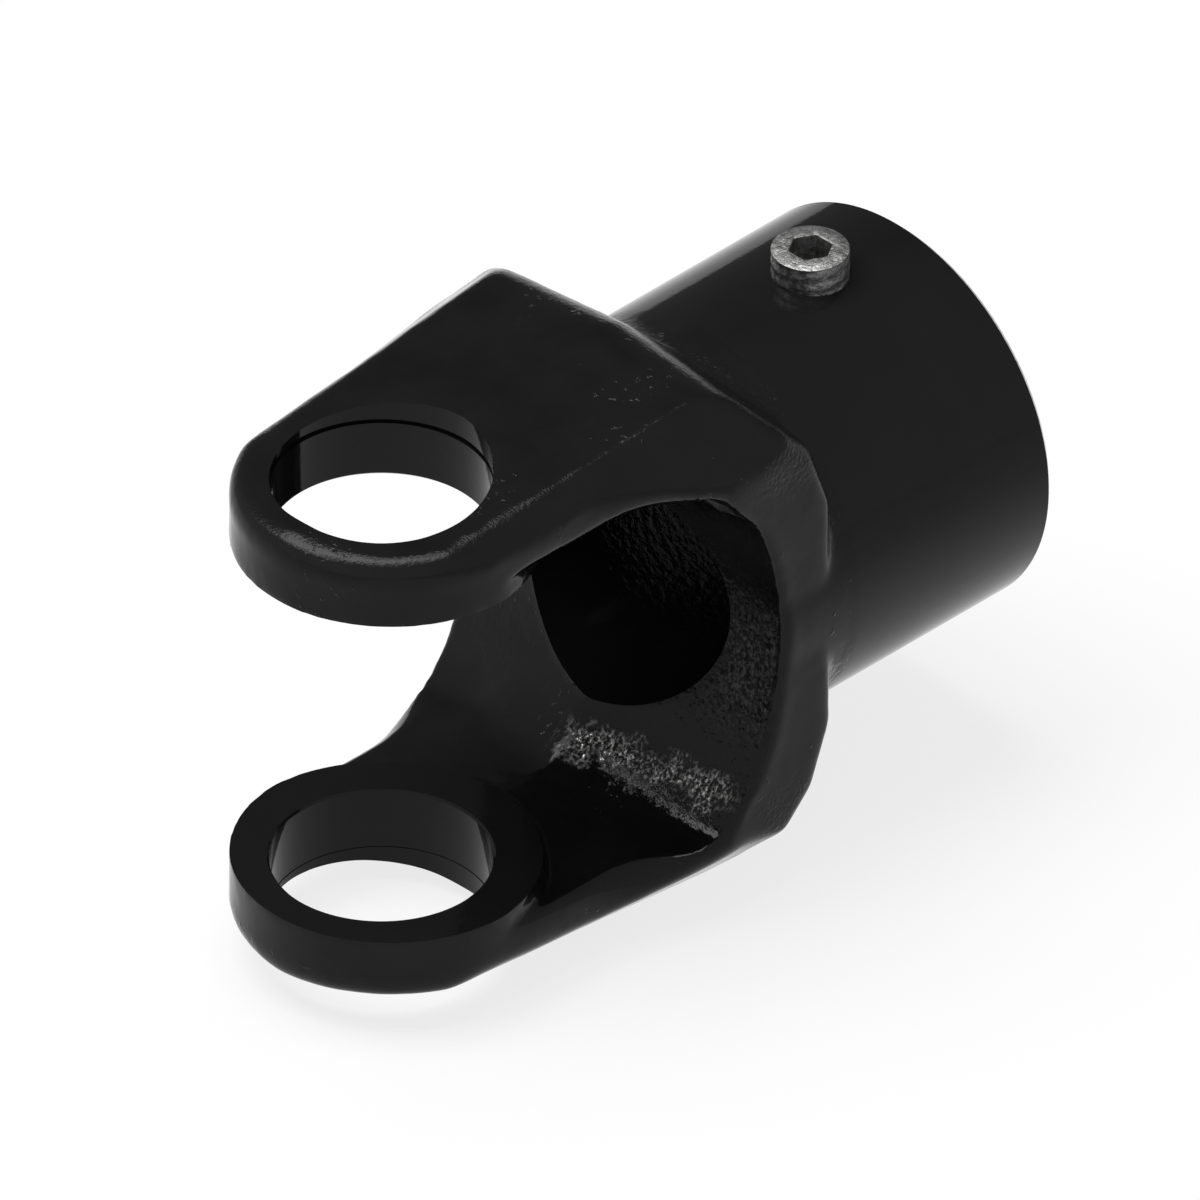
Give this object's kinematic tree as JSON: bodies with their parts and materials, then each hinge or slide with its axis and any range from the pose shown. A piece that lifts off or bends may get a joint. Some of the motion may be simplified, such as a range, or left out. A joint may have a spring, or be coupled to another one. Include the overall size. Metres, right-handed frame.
{
  "type": "forged yoke",
  "caption": "Forged steel fork with a cross-bearing bore through each ear, a round shaft hub with a keyway, and a socket set screw in the hub.",
  "frame": {"origin": "where the axis through both ear bores meets the shaft axis of the hub", "axes": "+X along the shaft axis to the open hub end, +Z through the upper ear on the set screw's side, +Y across the fork"},
  "size_m": [0.1053, 0.052, 0.0722],
  "materials": {
    "black_paint": "gloss",
    "screw_steel": "satin"
  },
  "bodies": {
    "yoke": {"forged_yoke": "black_paint"},
    "screw": {"set_screw": "screw_steel"}
  },
  "joints": [
    {"name": "set_screw_travel", "type": "slide", "parent": "yoke", "child": "screw", "axis": [0, 0, 1], "range_m": [-0.0026, 0.003]}
  ]
}
